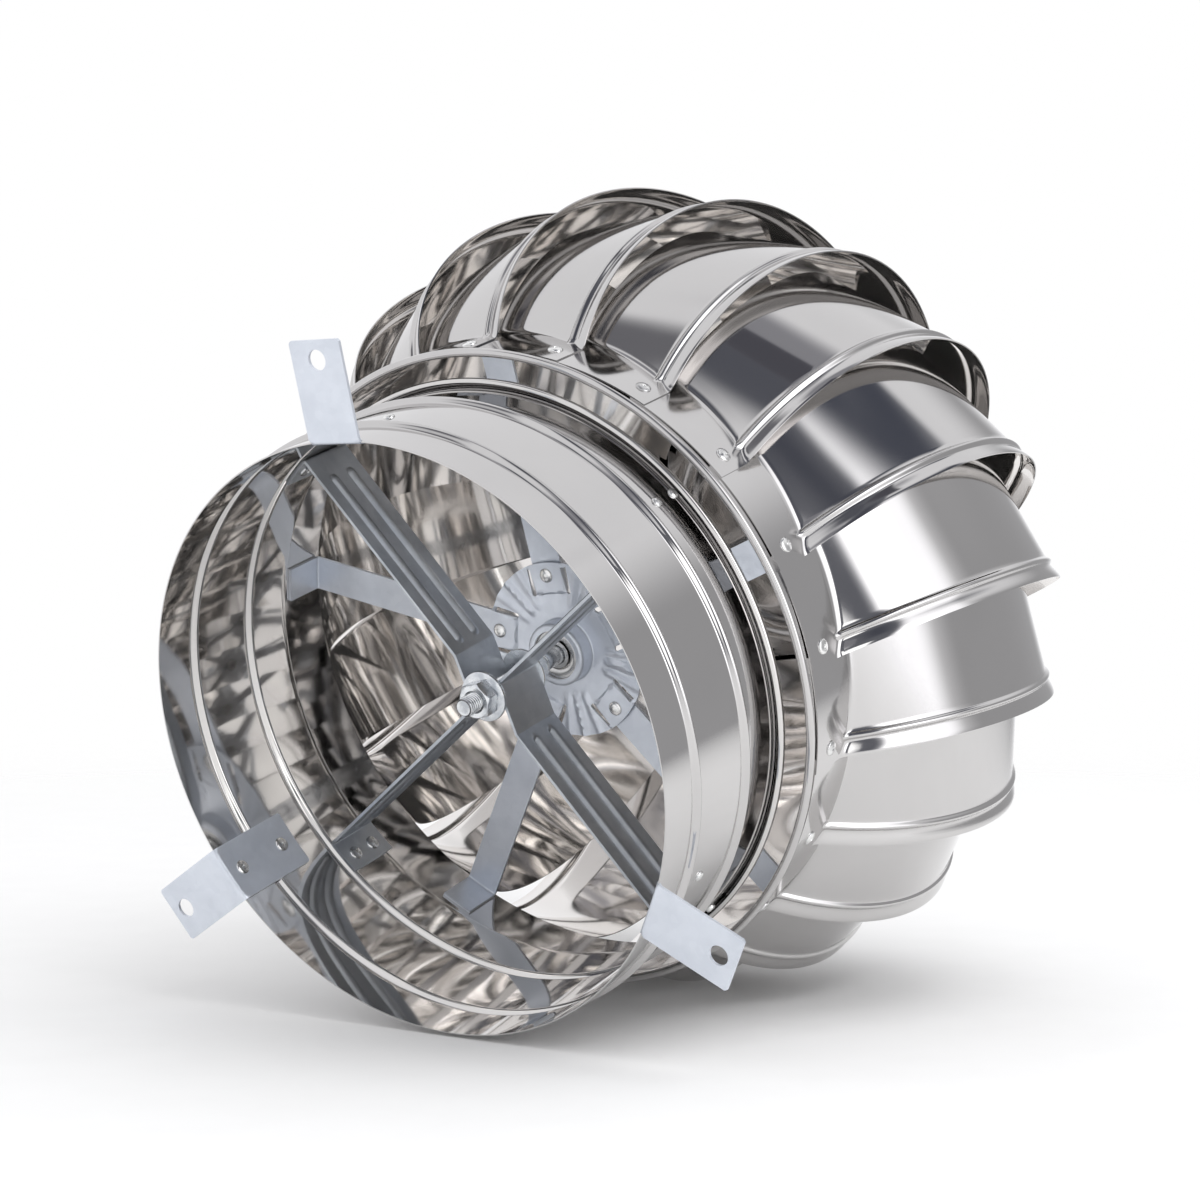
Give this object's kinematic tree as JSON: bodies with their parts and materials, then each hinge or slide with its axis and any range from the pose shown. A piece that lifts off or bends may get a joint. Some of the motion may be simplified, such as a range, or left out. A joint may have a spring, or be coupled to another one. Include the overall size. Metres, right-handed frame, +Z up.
{
  "type": "roof turbine ventilator",
  "caption": "Wind-driven roof turbine ventilator in polished stainless steel: a round neck with brackets and spider, and a spinning ball of curved vanes on a bearing shaft.",
  "frame": {"origin": "on the spin axis, in the plane of the bracket tabs' underside", "axes": "+Z up along the spin axis, from the roof to the top plate; +X and +Y in the roof plane"},
  "size_m": [0.43, 0.43, 0.3784],
  "materials": {
    "polished_stainless": "polished",
    "galvanised_steel": "satin",
    "zinc_plated_fasteners": "satin",
    "bearing_steel": "polished"
  },
  "bodies": {
    "base": {"neck_collar": "polished_stainless", "roof_brackets": "galvanised_steel", "bracket_rivets": "zinc_plated_fasteners", "spider_strip_1": "galvanised_steel", "spider_strip_2": "galvanised_steel", "spider_rivets": "zinc_plated_fasteners", "shaft": "bearing_steel", "nuts_and_washers": "zinc_plated_fasteners", "bearing_inner_rings": "bearing_steel"},
    "rotor": {"bearing_outer_rings": "bearing_steel", "lower_hub_plate": "galvanised_steel", "arm_rivets": "zinc_plated_fasteners", "base_ring": "polished_stainless", "vane_base_rivets": "zinc_plated_fasteners", "top_plate": "polished_stainless", "rotor_arm_1": "galvanised_steel", "rotor_arm_2": "galvanised_steel", "rotor_arm_3": "galvanised_steel", "rotor_arm_4": "galvanised_steel", "rotor_arm_5": "galvanised_steel", "vane_01": "polished_stainless", "vane_02": "polished_stainless", "vane_03": "polished_stainless", "vane_04": "polished_stainless", "vane_05": "polished_stainless", "vane_06": "polished_stainless", "vane_07": "polished_stainless", "vane_08": "polished_stainless", "vane_09": "polished_stainless", "vane_10": "polished_stainless", "vane_11": "polished_stainless", "vane_12": "polished_stainless", "vane_13": "polished_stainless", "vane_14": "polished_stainless", "vane_15": "polished_stainless", "vane_16": "polished_stainless", "vane_17": "polished_stainless", "vane_18": "polished_stainless", "vane_19": "polished_stainless", "vane_20": "polished_stainless"}
  },
  "joints": [
    {"name": "rotor_spin", "type": "hinge", "parent": "base", "child": "rotor", "pos_m": [0, 0, 0.2475], "axis": [0, 0, 1], "continuous": true}
  ]
}
